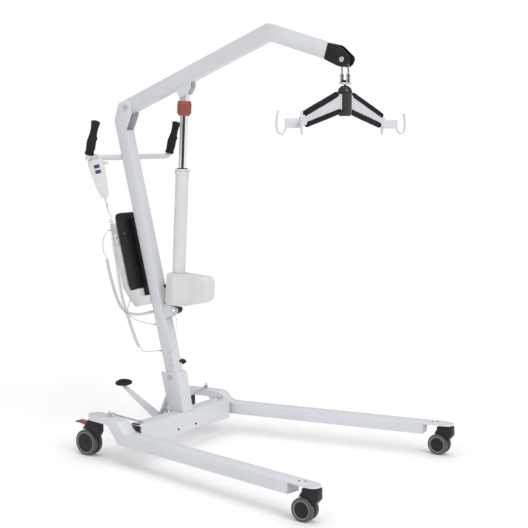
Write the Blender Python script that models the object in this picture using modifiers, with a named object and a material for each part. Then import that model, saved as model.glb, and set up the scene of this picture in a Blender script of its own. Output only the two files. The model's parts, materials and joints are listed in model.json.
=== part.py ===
"""Mobile patient lift: a wheeled base with spreading legs, a leaning mast and a boom raised by an actuator.

+X points forward along the legs, +Y to the lift's left and +Z up; units are metres. The floor is z = 0.
The near side of a paired piece is at -Y and the far side at +Y.
"""

import math

import bmesh
import bpy
from mathutils import Matrix, Vector

# Overall
GAP = 0.0003
STEP = 0.0004              # between faces that would otherwise lie in one plane
CENTRE_X = 0.30394         # from the leg pivots' datum to the middle of the whole lift
SIDES = {"near": -1, "far": 1}

# Base beam, across the rear of the lift
BEAM_DEPTH = 0.060
BEAM_HALF = 0.280
BEAM_LOW, BEAM_TOP = 0.066, 0.148
BEAM_WALL = 0.004
BEAM_X = -0.010

# Legs
LEG_PIVOT_Y = 0.250
LEG_SPREAD = math.radians(10.1)
LEG_LINE = 0.0715          # from the pivot out to the leg's centre line
LEG_WIDTH = 0.058
LEG_LOW, LEG_TOP = 0.079, 0.125
LEG_FRONT = 0.856
LUG_LOW, LUG_TOP, LUG_RADIUS = 0.100, 0.112, 0.022
NECK_LOW, NECK_TOP = 0.1425, 0.166
FRONT_PLATE_LOW = 0.1170
FRONT_AXIS, REAR_AXIS = 0.942, -0.186
STUD_ALONG = -0.099
ROD_HEIGHT = 0.1765

# Casters
FRONT_WHEEL, REAR_WHEEL = 0.040, 0.050
TRAIL = {"front": 0.029, "rear": 0.035}
BRAKE_HINGE = Vector((-0.0380, 0, 0.1190))
WHEEL_HALF = 0.023
HOOD_HALF = 0.015

# Mast
MAST_LEAN = math.radians(14.32)
MAST_X = -0.0071
MAST_HALF = 0.025
MAST_BORE = 0.0215
PIVOT_U, PIVOT_W = 0.0466, 1.2157
SOCKET_HALF = 0.030

# Boom
BOOM_RISE = math.radians(21.37)
BOOM_HALF_WIDTH, BOOM_HALF_HEIGHT = 0.020, 0.029
ELBOW = 0.7195
ELBOW_DROP = math.radians(38.5)
NOSE_LENGTH = 0.2632
HANGER_ALONG, HANGER_BELOW = 0.0738, 0.0111

# Actuator
FOOT_PIN = Vector((-0.0275, 0.0, 0.549))
ACTUATOR_LEAN = math.radians(2.93)
PIN_SPAN = 0.8441
ROD_RADIUS, TUBE_RADIUS = 0.0148, 0.0255

# Spreader, measured from its swivel under the hanger
HANGER_LENGTH = 0.087
ARM_SPLAY = math.radians(32.5)
ARM_END = 0.290
STRAP_LINE = 0.279

# Pedal rocker
ROCKER = Vector((-0.092, 0.0, 0.100))
CRANK = 0.032
ROCKER_TILT = math.radians(4.6)
PEDAL_ANGLE = math.radians(42.5)
PEDAL_RADIUS = 0.252
PEDAL_BACK = -0.058

# Handlebar
BAR_X, BAR_Z, BAR_RADIUS = -0.2982, 1.142, 0.011
HANDSET_TOP = Vector((-0.2580, -0.2135, 1.1395))
HANDSET_LOW = Vector((-0.2400, -0.1775, 0.9905))

for old in list(bpy.data.objects):
    bpy.data.objects.remove(old)

parts = bpy.data.collections.new("patient_lift")
tools = bpy.data.collections.new("cutters")
frames = bpy.data.collections.new("frames")
for group in (parts, tools, frames):
    bpy.context.scene.collection.children.link(group)


def finish(name, colour, roughness, metallic=0.0):
    made = bpy.data.materials.new(name)
    made.use_nodes = True
    shader = made.node_tree.nodes["Principled BSDF"]
    shader.inputs["Base Color"].default_value = (*colour, 1.0)
    shader.inputs["Roughness"].default_value = roughness
    shader.inputs["Metallic"].default_value = metallic
    made.diffuse_color = (*colour, 1.0)
    return made


# Helpers: every piece is made in the coordinates of a frame, an empty on its joint or mounting face.

def frame(name, at=(0, 0, 0), turn=(0, 0, 0), parent=None):
    empty = bpy.data.objects.new(name, None)
    frames.objects.link(empty)
    empty.parent = parent
    empty.location = at
    empty.rotation_euler = turn
    return empty


def place(name, mesh, at, turn, parent, material):
    made = bpy.data.objects.new(name, mesh)
    made.location = at
    made.rotation_euler = turn
    made.parent = parent
    if material is None:
        tools.objects.link(made)
        made.hide_render = True
        made.display_type = "WIRE"
    else:
        parts.objects.link(made)
        mesh.materials.append(finish(name, *material))
    return made


def soften(made, width, segments=2):
    bevel = made.modifiers.new("edges", "BEVEL")
    bevel.width = width
    bevel.segments = segments
    bevel.limit_method = "ANGLE"
    bevel.angle_limit = math.radians(40)
    return made


def box(name, size, at, parent, material=None, turn=(0, 0, 0), bevel=0.0, segments=2):
    form = bmesh.new()
    bmesh.ops.create_cube(form, size=1.0)
    bmesh.ops.scale(form, vec=size, verts=form.verts)
    mesh = bpy.data.meshes.new(name)
    form.to_mesh(mesh)
    form.free()
    made = place(name, mesh, at, turn, parent, material)
    return soften(made, bevel, segments) if bevel else made


AXIS_TURN = {
    "X": Matrix.Rotation(math.pi / 2, 4, "Y"),
    "Y": Matrix.Rotation(math.pi / 2, 4, "X"),
    "Z": Matrix(),
}


def cylinder(name, radius, length, at, parent, material=None, axis="Z", sides=20, top=None, turn=(0, 0, 0)):
    form = bmesh.new()
    bmesh.ops.create_cone(form, cap_ends=True, segments=sides, radius1=radius,
                          radius2=radius if top is None else top, depth=length)
    bmesh.ops.transform(form, matrix=AXIS_TURN[axis], verts=form.verts)
    mesh = bpy.data.meshes.new(name)
    form.to_mesh(mesh)
    form.free()
    mesh.shade_smooth()
    mesh.set_sharp_from_angle(angle=math.radians(35))
    return place(name, mesh, at, turn, parent, material)


def arc(centre, radius, start, end, steps):
    angles = [math.radians(start + (end - start) * i / steps) for i in range(steps + 1)]
    return [(centre[0] + radius * math.cos(a), centre[1] + radius * math.sin(a)) for a in angles]


def plate(name, outline, thickness, at, parent, material=None, bevel=0.0, turn=(0, 0, 0), facing="Y"):
    """A flat piece with this outline in its frame's XZ plane, or in its YZ plane when it faces X."""
    curve = bpy.data.curves.new(name, "CURVE")
    curve.dimensions = "2D"
    curve.fill_mode = "BOTH"
    curve.extrude = thickness / 2
    spline = curve.splines.new("POLY")
    spline.points.add(len(outline) - 1)
    for point, (x, z) in zip(spline.points, outline):
        point.co = (x, z, 0, 1)
    spline.use_cyclic_u = True
    upright = Matrix.Rotation(math.pi / 2, 4, "X")
    if facing == "X":
        upright = Matrix.Rotation(math.pi / 2, 4, "Z") @ upright
    if facing == "Z":
        upright = Matrix()
    return from_curve(name, curve, at, parent, material, turn, upright, bevel)


def from_curve(name, curve, at, parent, material, turn=(0, 0, 0), upright=Matrix(), bevel=0.0):
    """The curve as a closed mesh, its caps welded to its sides."""
    drawn = bpy.data.objects.new(name + "_curve", curve)
    frames.objects.link(drawn)
    evaluated = drawn.evaluated_get(bpy.context.evaluated_depsgraph_get())
    mesh = bpy.data.meshes.new_from_object(evaluated)
    mesh.name = name
    bpy.data.objects.remove(drawn)
    form = bmesh.new()
    form.from_mesh(mesh)
    bmesh.ops.remove_doubles(form, verts=form.verts, dist=1e-6)
    bmesh.ops.transform(form, matrix=upright, verts=form.verts)
    bmesh.ops.recalc_face_normals(form, faces=form.faces)
    form.to_mesh(mesh)
    form.free()
    made = place(name, mesh, at, turn, parent, material)
    return soften(made, bevel) if bevel else made


def smooth_path(points, spacing):
    """Points along a smooth curve through the given ones, about this far apart."""
    knots = [Vector(p) for p in points]
    ends = [knots[0] * 2 - knots[1], *knots, knots[-1] * 2 - knots[-2]]
    path = []
    for before, start, end, after in zip(ends, ends[1:], ends[2:], ends[3:]):
        count = max(1, round((end - start).length / spacing))
        for i in range(count):
            t = i / count
            path.append(0.5 * (2 * start + (end - before) * t
                               + (2 * before - 5 * start + 4 * end - after) * t * t
                               + (3 * start - before - 3 * end + after) * t ** 3))
    return [*path, knots[-1]]


def tube(name, points, radius, parent, material=None, at=(0, 0, 0), resolution=2, turn=(0, 0, 0)):
    """A round bar along a path, as a curve object, or as a mesh when it is to be joined to another piece."""
    curve = bpy.data.curves.new(name, "CURVE")
    curve.dimensions = "3D"
    curve.bevel_depth = radius
    curve.bevel_resolution = resolution
    curve.use_fill_caps = True
    spline = curve.splines.new("POLY")
    spline.points.add(len(points) - 1)
    for point, place_at in zip(spline.points, points):
        point.co = (*place_at, 1)
    return from_curve(name, curve, at, parent, material, turn)


def turned(name, profile, at, parent, material=None, axis="Z", steps=20, turn=(0, 0, 0)):
    """A turned piece from (radius, height) points running down its outer side."""
    mesh = bpy.data.meshes.new(name)
    mesh.from_pydata([(r, 0, z) for r, z in profile], [(i, i + 1) for i in range(len(profile) - 1)], [])
    lay = {"Z": turn, "Y": (math.pi / 2, 0, 0), "X": (0, math.pi / 2, 0), "-X": (0, -math.pi / 2, 0)}[axis]
    made = place(name, mesh, at, lay, parent, material)
    screw = made.modifiers.new("turn", "SCREW")
    screw.axis = "Z"
    screw.steps = steps
    screw.render_steps = steps
    screw.use_merge_vertices = True
    screw.merge_threshold = 0.00002
    screw.use_smooth_shade = True
    return made


def boolean(target, other, operation):
    step = target.modifiers.new(operation.lower(), "BOOLEAN")
    step.operation = operation
    step.solver = "EXACT"
    step.object = other
    return target


def cut(target, *others):
    for other in others:
        boolean(target, other, "DIFFERENCE")
    return target


def fuse(target, *others):
    for other in others:
        boolean(target, other, "UNION")
    return target


WHITE = ((0.80, 0.81, 0.83), 0.38)
PLASTIC_WHITE = ((0.80, 0.79, 0.77), 0.45)
BLACK = ((0.02, 0.02, 0.022), 0.5)
FOAM = ((0.012, 0.012, 0.013), 0.9)
RUBBER = ((0.06, 0.06, 0.065), 0.8)
CHROME = ((0.75, 0.76, 0.78), 0.12, 1.0)
STEEL = ((0.55, 0.56, 0.58), 0.35, 1.0)
RED = ((0.36, 0.10, 0.07), 0.5)
BLUE = ((0.05, 0.07, 0.20), 0.5)
GREY = ((0.42, 0.42, 0.43), 0.6)

root = frame("lift", at=(-CENTRE_X, 0, 0))


# Base beam, mast socket and their fasteners

def base_beam():
    height = BEAM_TOP - BEAM_LOW
    middle = (BEAM_X, 0, (BEAM_TOP + BEAM_LOW) / 2)
    beam = box("base_beam", (BEAM_DEPTH, 2 * BEAM_HALF, height), middle, root, WHITE, bevel=0.004)
    bore_size = (BEAM_DEPTH - 2 * BEAM_WALL, 2 * BEAM_HALF + 0.02, height - 2 * BEAM_WALL)
    cut(beam, box("beam_bore", bore_size, middle, root))
    for name, side in SIDES.items():
        cut(beam, cylinder(f"beam_hole_{name}", 0.0060, 0.1, (BEAM_X, side * LEG_PIVOT_Y, middle[2]), root))
    cut(beam, cylinder("axle_seat", 0.0073, 0.02, (BEAM_X - BEAM_DEPTH / 2, 0, ROCKER.z), root, axis="X"))
    return beam


def mast_socket(mast):
    outline = [(-0.0905, 0.2985), (-0.0140, 0.3030), (-0.0060, 0.2960), (0.0222, 0.1483), (-0.0520, 0.1483)]
    socket = plate("mast_socket", outline, 2 * SOCKET_HALF, (0, 0, 0), root, WHITE, bevel=0.0012)
    seat = MAST_HALF + 0.0006
    depth = 0.110
    channel = box("socket_channel", (depth, 2 * seat, 0.40), (seat - depth / 2, 0, 0.15), mast)
    cut(socket, channel)
    hole = (-0.003, SIDES["near"] * 0.028, 0.1372)
    cut(socket, cylinder("socket_screw_hole", 0.0055, 0.02, hole, mast, axis="Y"))
    return socket


def pivot_bolts():
    for name, side in SIDES.items():
        head, shank = 0.0095, 0.0056
        top = BEAM_TOP + GAP
        low = BEAM_LOW - 0.006
        profile = [(0, 0.0070), (head - 0.001, 0.0070), (head, 0.0060), (head, 0), (shank, 0),
                   (shank, low - top), (0, low - top)]
        turned(f"leg_pivot_bolt_{name}", profile, (BEAM_X, side * LEG_PIVOT_Y, top), root, STEEL, steps=16)


def rocker_axle():
    """The steel axle that the pedal rocker turns on, screwed into the beam's rear face."""
    rear = BEAM_X - BEAM_DEPTH / 2
    profile = [(0, 0.0035), (0.0105, 0.0035), (0.0105, -0.0035), (0.0070, -0.0035),
               (0.0070, -0.0985), (0, -0.0985)]
    return turned("rocker_axle", profile, (rear - 0.0945, 0, ROCKER.z), root, STEEL, axis="-X", steps=16)


# Mast, with the head cheeks that hold the boom and the lugs that hold the actuator

def mast_tube(mast):
    foot = 0.0008
    slope = math.tan(MAST_LEAN) * MAST_HALF
    outline = [(-MAST_HALF, foot + slope), (-MAST_HALF, 1.178), (0.008, 1.233), (0.022, 1.241), (0.058, 1.241),
               (0.071, 1.236), (0.078, 1.222), (0.077, 1.205), (0.066, 1.180), (MAST_HALF, 1.128),
               (MAST_HALF, foot - slope)]
    made = plate("mast", outline, 2 * MAST_HALF, (0, 0, 0), mast, WHITE, bevel=0.003)
    cut(made, box("mast_bore", (2 * MAST_BORE, 2 * MAST_BORE, 1.4), (0, 0, 0.62), mast))
    cut(made, box("mast_mouth", (0.14, 2 * MAST_BORE, 0.16), (0.07 - MAST_BORE, 0, 1.128 + 0.08), mast))
    cut(made, cylinder("head_hole", 0.0063, 0.08, (PIVOT_U, 0, PIVOT_W), mast, axis="Y"))
    lug = [(-0.0897, 0.5680), (-0.0560, 0.5655), (-0.0260, 0.5610), (-0.0150, 0.5550), (-0.0145, 0.5450),
           (-0.0210, 0.5370), (-0.0680, 0.5150), (-0.0757, 0.5120)]
    for name, side in SIDES.items():
        ear = plate(f"lug_{name}", lug, 0.005, (0, side * 0.0155, 0), root)
        fuse(made, ear)
    cut(made, cylinder("lug_hole", 0.0053, 0.05, FOOT_PIN, root, axis="Y"))
    return made


def lock_screw(mast):
    """The hand screw that clamps the mast in its socket: a flanged head outside and its thread in the wall."""
    profile = [(0, 0.0090), (0.0060, 0.0090), (0.0085, 0.0075), (0.0090, 0), (0.0050, 0),
               (0.0050, -0.0042), (0, -0.0042)]
    seat = (-0.003, -SOCKET_HALF - GAP, 0.1372)
    screw = turned("mast_lock_screw", profile, seat, mast, STEEL, axis="Y", steps=16)
    return screw


def pull_pin():
    """The quick-release pin through the actuator's foot, with its pull ring hanging from the head."""
    head = -0.0185
    profile = [(0, 0.0070), (0.0070, 0.0070), (0.0080, 0.0060), (0.0080, 0), (0.0050, 0),
               (0.0050, -0.0400), (0.0035, -0.0420), (0, -0.0420)]
    pin = turned("foot_pin", profile, (FOOT_PIN.x, head, FOOT_PIN.z), root, CHROME, axis="Y", steps=16)
    below = (FOOT_PIN.x + 0.001, head - 0.0050, FOOT_PIN.z - 0.0165)
    ring_mesh = ring("pull_ring", 0.0110, 0.0013, below, root)
    return fuse(pin, ring_mesh)


def ring(name, radius, wire, at, parent, material=None, turn=(math.pi / 2, 0, 0), sides=14):
    mesh = bpy.data.meshes.new(name)
    form = bmesh.new()
    section = [form.verts.new((radius + wire * math.cos(a), 0, wire * math.sin(a)))
               for a in (math.tau * i / 6 for i in range(6))]
    edges = [form.edges.new((section[i], section[(i + 1) % 6])) for i in range(6)]
    bmesh.ops.spin(form, geom=section + edges, cent=(0, 0, 0), axis=(0, 0, 1), angle=math.tau, steps=sides,
                   use_merge=True)
    bmesh.ops.remove_doubles(form, verts=form.verts, dist=1e-6)
    bmesh.ops.recalc_face_normals(form, faces=form.faces)
    form.to_mesh(mesh)
    form.free()
    return place(name, mesh, at, turn, parent, material)


def head_bolt(boom):
    reach = MAST_HALF + GAP
    profile = [(0, 0.0060), (0.0085, 0.0060), (0.0095, 0.0050), (0.0095, 0), (0.0060, 0),
               (0.0060, -2 * reach), (0.0095, -2 * reach), (0.0095, -2 * reach - 0.0065), (0, -2 * reach - 0.0065)]
    return turned("boom_pivot_bolt", profile, (0, -reach, 0), boom, STEEL, axis="Y", steps=20)


# Handlebar and grips

GRIP_LOW = Vector((-0.2590, 0.2418, 1.1560))
GRIP_TOP = Vector((-0.2195, 0.2441, 1.2840))
GRIP_DEPTH = 0.1075


def handlebar():
    lean = (GRIP_TOP - GRIP_LOW).normalized()
    half = [Vector((BAR_X, 0.0, BAR_Z)), Vector((BAR_X, 0.16, BAR_Z)), Vector((BAR_X + 0.001, 0.190, BAR_Z)),
            Vector((BAR_X + 0.008, 0.213, BAR_Z)), Vector((BAR_X + 0.020, 0.230, BAR_Z + 0.0005)),
            Vector((BAR_X + 0.031, 0.2395, BAR_Z + 0.004)), GRIP_LOW - lean * 0.004, GRIP_LOW + lean * GRIP_DEPTH]
    mirrored = [Vector((p.x, -p.y, p.z)) for p in reversed(half[1:])]
    whole = smooth_path([*mirrored, *half], 0.014)
    straight = [p for p in whole if abs(p.y) > 0.155]
    middle = [Vector((BAR_X, -0.15, BAR_Z)), Vector((BAR_X, 0.15, BAR_Z))]
    near = [p for p in straight if p.y < 0]
    far = [p for p in straight if p.y > 0]
    return tube("handlebar", [*near, *middle, *far], BAR_RADIUS, root, WHITE, resolution=3)


def grip(name, side):
    low = Vector((GRIP_LOW.x, side * GRIP_LOW.y, GRIP_LOW.z))
    top = Vector((GRIP_TOP.x, side * GRIP_TOP.y, GRIP_TOP.z))
    length = (top - low).length
    turn = (top - low).to_track_quat("Z", "Y").to_euler()
    stand = frame(f"grip_frame_{name}", low, turn, root)
    bulges = [(0, 0), (0.0150, 0.0), (0.0175, 0.004), (0.0170, 0.020), (0.0160, 0.030), (0.0168, 0.042),
              (0.0158, 0.054), (0.0178, 0.068), (0.0190, 0.085), (0.0205, 0.103), (0.0195, 0.118),
              (0.0165, 0.128), (0.0135, length)]
    profile = [(r, length - z) for r, z in bulges[:-1]]
    profile += [(0.0135, 0.0), (0.0119, 0.0), (0.0119, 0.108), (0, 0.108)]
    return turned(f"grip_{name}", profile, (0, 0, 0), stand, FOAM, steps=16)


# Control unit on the mast's rear face

def mounting_plate(mast):
    return box("mounting_plate", (0.0296, 0.040, 0.315), (-0.0406, 0, 0.6300), mast, WHITE, bevel=0.002)


def control_box(mast):
    outline = [(-0.0256, 0.4370), (-0.0860, 0.4370), (-0.0930, 0.4450), (-0.1290, 0.5150), (-0.1310, 0.5230),
               (-0.1310, 0.7700), (-0.1270, 0.7800), (-0.1050, 0.7800), (-0.0965, 0.7720), (-0.0965, 0.5046),
               (-0.0560, 0.5046), (-0.0560, 0.4720), (-0.0256, 0.4720)]
    case = plate("control_box", outline, 0.110, (0, 0, 0), mast, PLASTIC_WHITE, bevel=0.003)
    socket = cylinder("lead_socket", 0.0055, 0.018, (-0.114, -0.058, 0.7540), mast, axis="Y", sides=12)
    return fuse(case, socket)


def battery(mast):
    outline = [(-0.0575, 0.5052), (-0.0860, 0.5052), (-0.0960, 0.5180), (-0.0960, 0.8000), (-0.0900, 0.8120),
               (-0.0640, 0.8150), (-0.0575, 0.8080)]
    pack = plate("battery", outline, 0.116, (0, 0, 0), mast, BLACK, bevel=0.004)
    slot = box("battery_finger_slot", (0.016, 0.060, 0.012), (-0.0960, 0, 0.7900), mast)
    return cut(pack, slot)


# Handset, hanging by its hook from the handlebar

def handset(stand):
    half = [(0.0, -0.0020), (0.0200, -0.0020), (0.0290, -0.0080), (0.0300, -0.0250), (0.0270, -0.0700),
            (0.0210, -0.1200), (0.0150, -0.1480), (0.0080, -0.1560)]
    outline = [*half, *[(-x, z) for x, z in reversed(half[1:])]]
    shell = plate("handset_shell", outline, 0.026, (0, 0, 0), stand, PLASTIC_WHITE, bevel=0.004)
    relief = cylinder("strain_relief", 0.0028, 0.026, (0, 0, -0.1660), stand, top=0.0050, sides=12)
    fuse(shell, relief)
    for name, low in (("up", -0.0290), ("down", -0.0500)):
        pocket = box(f"{name}_pocket", (0.0216, 0.006, 0.0136), (0, -0.0125, low), stand)
        cut(shell, pocket)
        button = box(f"button_{name}", (0.0206, 0.0040, 0.0126), (0, -0.0128, low), stand, BLUE, bevel=0.0012)
        button.data.name = f"button_{name}"
    return shell


def handset_turn():
    """Its long axis leans as it hangs, and its keys face halfway between forward and the near side."""
    up = (HANDSET_TOP - HANDSET_LOW).normalized()
    across = Vector((-1, 1, 0)).cross(up).normalized()
    return Matrix((across, up.cross(across), up)).transposed().to_euler()


def handset_hook():
    """A plastic strap over the handlebar, with an arm forward to the handset's back."""
    inner = BAR_RADIUS + 0.0008
    outer = inner + 0.0030
    bar = (BAR_X, BAR_Z)
    outline = [(bar[0] + outer, bar[1] - 0.026), *arc(bar, outer, 0, 200, 10), *arc(bar, inner, 200, 0, 10),
               (bar[0] + inner, bar[1] - 0.026)]
    hook = plate("handset_hook", outline, 0.016, (0, -0.158, 0), root, PLASTIC_WHITE)
    arm = box("hook_arm", (0.0400, 0.0230, 0.0120), (BAR_X + 0.0342, -0.1615, BAR_Z - 0.0195), root)
    return fuse(hook, arm)


# Boom

def nose_frame(boom):
    end = (ELBOW + NOSE_LENGTH * math.cos(ELBOW_DROP), 0, -NOSE_LENGTH * math.sin(ELBOW_DROP))
    return frame("nose", end, (0, ELBOW_DROP, 0), boom)


def boom_tube(boom, nose):
    mitre = BOOM_HALF_HEIGHT * math.tan(ELBOW_DROP / 2)
    end = Vector((ELBOW + NOSE_LENGTH * math.cos(ELBOW_DROP), -NOSE_LENGTH * math.sin(ELBOW_DROP)))
    side = Vector((math.sin(ELBOW_DROP), math.cos(ELBOW_DROP))) * BOOM_HALF_HEIGHT
    outline = [(-0.034, -BOOM_HALF_HEIGHT), (-0.034, BOOM_HALF_HEIGHT), (ELBOW + mitre, BOOM_HALF_HEIGHT),
               tuple(end + side), tuple(end - side), (ELBOW - mitre, -BOOM_HALF_HEIGHT)]
    made = plate("boom", outline, 2 * BOOM_HALF_WIDTH, (0, 0, 0), boom, WHITE, bevel=0.003)
    wide, high = 2 * BOOM_HALF_WIDTH - 0.005, 2 * BOOM_HALF_HEIGHT - 0.005
    cut(made, box("boom_bore", (0.74, wide, high), (0.32, 0, 0), boom))
    cut(made, box("nose_bore", (0.22, wide - 0.001, high - 0.001), (-0.09, 0, 0), nose))
    cut(made, cylinder("boom_hole", 0.0063, 0.06, (0, 0, 0), boom, axis="Y"))
    ear = [(0.252, -0.0278), (0.330, -0.0278), (0.322, -0.050), (0.300, -0.066), (0.270, -0.067), (0.258, -0.058)]
    for name, sign in SIDES.items():
        fuse(made, plate(f"boom_ear_{name}", ear, 0.005, (0, sign * 0.0155, 0), boom))
    return made


def boom_clevis(nose):
    outline = [(GAP, 0.0285), (0.038, 0.031), (0.050, 0.028), (0.096, 0.007), (0.102, -0.003), (0.100, -0.020),
               (0.092, -0.031), (0.078, -0.037), (0.060, -0.038), (GAP, -0.030)]
    made = plate("boom_clevis", outline, 2 * BOOM_HALF_WIDTH + 0.002, (0, 0, 0), nose, BLACK, bevel=0.003)
    cut(made, box("clevis_slot", (0.12, 0.026, 0.10), (0.024 + 0.06, 0, 0), nose))
    cut(made, cylinder("clevis_hole", 0.0063, 0.06, (HANGER_ALONG, 0, -HANGER_BELOW), nose, axis="Y"))
    return made


def clevis_bolt(hanger):
    reach = BOOM_HALF_WIDTH + 0.001 + GAP
    profile = [(0, 0.0055), (0.0085, 0.0055), (0.0095, 0.0045), (0.0095, 0), (0.0060, 0),
               (0.0060, -2 * reach), (0.0095, -2 * reach), (0.0095, -2 * reach - 0.006), (0, -2 * reach - 0.006)]
    return turned("clevis_bolt", profile, (0, -reach, 0), hanger, STEEL, axis="Y", steps=20)


# Actuator

def actuator(stand):
    eye = cylinder("actuator_foot", 0.0135, 0.0240, (0, 0, 0), stand, BLACK, axis="Y")
    fuse(eye, box("foot_neck", (0.022, 0.0240, 0.0180), (0, 0, 0.0092), stand))
    cut(eye, cylinder("foot_hole", 0.0053, 0.05, (0, 0, 0), stand, axis="Y"))

    low, high = 0.0188, 0.1470
    outline = [(-0.037, low + 0.012), (-0.034, low + 0.003), (-0.026, low), (0.040, low + 0.001), (0.130, 0.044),
               (0.145, 0.052), (0.153, 0.070), (0.153, 0.120), (0.147, 0.137), (0.132, high - 0.0015),
               (-0.028, high), (-0.036, high - 0.010)]
    housing = plate("motor_housing", outline, 0.068, (0, 0, 0), stand, PLASTIC_WHITE, bevel=0.011)
    barrel = [(0, high - 0.0005), (0.030, high - 0.0005), (0.0385, high - 0.014), (0.0395, 0.050),
              (0.034, low + 0.001), (0, low + 0.001)]
    fuse(housing, turned("gear_barrel", barrel, (0, 0, 0), stand))
    tube_low, tube_high = high + GAP, 0.5520
    wall = 0.0210
    profile = [(0, tube_high), (0.0270, tube_high), (0.0285, tube_high - 0.002), (0.0285, 0.5300),
               (0.0270, 0.5280), (TUBE_RADIUS, 0.5275), (TUBE_RADIUS, tube_low), (0, tube_low)]
    bore = [(0, tube_high + 0.01), (0.0155, tube_high + 0.01), (0.0155, 0.5350), (wall, 0.5300),
            (wall, tube_low + 0.006), (0, tube_low + 0.006)]
    outer = turned("actuator_tube", profile, (0, 0, 0), stand, PLASTIC_WHITE)
    cut(outer, turned("tube_bore", bore, (0, 0, 0), stand))

    knob_low, knob_high = 0.7552, 0.8125
    rod = [(0, knob_high), (0.0100, knob_high), (0.0100, knob_low - GAP), (ROD_RADIUS, knob_low - GAP),
           (ROD_RADIUS, 0.3600), (0, 0.3600)]
    turned("actuator_rod", rod, (0, 0, 0), stand, CHROME)

    grip_profile = [(0.0104, knob_high - GAP), (0.0235, knob_high - GAP), (0.0265, knob_high - 0.005),
                    (0.0268, knob_low + 0.016), (0.0215, knob_low), (0.0104, knob_low), (0.0104, knob_high - GAP)]
    knob = turned("release_knob", grip_profile, (0, 0, 0), stand, RED, steps=24)
    for i in range(8):
        angle = math.tau * i / 8
        beside = (0.0292 * math.cos(angle), 0.0292 * math.sin(angle), 0.790)
        flute = cylinder(f"knob_flute_{i}", 0.0045, 0.050, beside, stand, sides=8)
        cut(knob, flute)

    end = box("rod_end", (0.030, 0.0240, 0.0300), (0, 0, knob_high + GAP + 0.0150), stand, CHROME)
    fuse(end, cylinder("rod_end_eye", 0.0148, 0.0240, (0, 0, PIN_SPAN), stand, axis="Y"))
    cut(end, cylinder("rod_end_hole", 0.0063, 0.05, (0, 0, PIN_SPAN), stand, axis="Y"))
    cylinder("head_pin", 0.0060, 0.0244, (0, 0, PIN_SPAN), stand, STEEL, axis="Y", sides=16)


# Hanger and spreader

def hanger_shackle(hanger):
    """The chrome link: an eye on the clevis bolt, and a window above the swivel's head."""
    eye = cylinder("hanger_link", 0.0130, 0.0240, (0, 0, 0), hanger, CHROME, axis="Y")
    fuse(eye, box("link_body", (0.0200, 0.0240, 0.0800), (0, 0, -0.0460), hanger))
    cut(eye, box("link_window", (0.03, 0.0110, 0.0440), (0, 0, -0.0560), hanger))
    cut(eye, cylinder("link_hole", 0.0063, 0.05, (0, 0, 0), hanger, axis="Y"))
    cut(eye, cylinder("link_swivel_hole", 0.0045, 0.03, (0, 0, -0.0850), hanger))
    return eye


def spreader_hub(spreader):
    profile = [(0, 0.0170), (0.0052, 0.0170), (0.0052, 0.0100), (0.0040, 0.0100), (0.0040, -0.0030),
               (0.0120, -0.0030), (0.0220, -0.0120), (0.0262, -0.0240), (0.0262, -0.0300), (0.0250, -0.0320), (0.0250, -0.1000),
               (0.0200, -0.1080), (0, -0.1080)]
    return turned("spreader_hub", profile, (0, 0, 0), spreader, BLACK)


PAD_LINES = {"upper": ((0.0550, -0.0345), (0.2650, -0.1040)), "lower": ((0.0360, -0.0905), (0.2500, -0.1380))}
PAD_RADIUS = 0.0090


def spreader_arm(name, side, spreader):
    """A tapered plate from the hub, and at its end two splayed straps that carry the sling hooks."""
    outline = [(side * y, z) for y, z in ((0.0254, -0.0330), (0.0400, -0.0330), (0.2800, -0.1100), (ARM_END, -0.1150),
                                          (ARM_END, -0.1480), (0.2800, -0.1440), (0.0254, -0.0870))]
    arm = plate(f"spreader_arm_{name}", outline, 0.008, (0, 0, 0), spreader, WHITE, facing="X")
    for turn in (-1, 1):
        azimuth = side * math.pi / 2 + turn * ARM_SPLAY
        limb = frame(f"hook_frame_{name}_{turn}", (0, side * STRAP_LINE, 0), (0, 0, azimuth), spreader)
        strap = box(f"strap_{name}_{turn}", (0.058, 0.005, 0.032), (0.031, 0, -0.1345), limb, bevel=0.001)
        hook = [(0.050, 0, -0.1390), (0.0560, 0, -0.1480), (0.0600, 0, -0.1580), (0.0660, 0, -0.1660),
                (0.0740, 0, -0.1700), (0.0820, 0, -0.1680), (0.0880, 0, -0.1610), (0.0910, 0, -0.1480),
                (0.0915, 0, -0.1280), (0.0895, 0, -0.1100), (0.0850, 0, -0.0950)]
        bar = tube(f"hook_{name}_{turn}", hook, 0.0040, limb)
        fuse(arm, strap, bar)
    return arm


def arm_pad(name, side, level, spreader):
    """A split foam sleeve pushed over one edge of the arm."""
    (y0, z0), (y1, z1) = PAD_LINES[level]
    start = Vector((0, side * y0, z0))
    end = Vector((0, side * y1, z1))
    turn = (end - start).to_track_quat("Z", "Y").to_euler()
    middle = (start + end) / 2
    length = (end - start).length
    pad = cylinder(f"arm_pad_{level}_{name}", PAD_RADIUS, length, middle, spreader, FOAM, sides=16, turn=turn)
    inward = -1 if level == "upper" else 1
    slope = math.atan2(z1 - z0, side * (y1 - y0))
    slit = box(f"slit_{level}_{name}", (0.0088, length + 0.02, 0.020), middle + Vector((0, 0, inward * 0.0085)),
               spreader, turn=(slope, 0, 0))
    return cut(pad, slit)


# Legs, tie rods and the pedal rocker that spreads them

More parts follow.
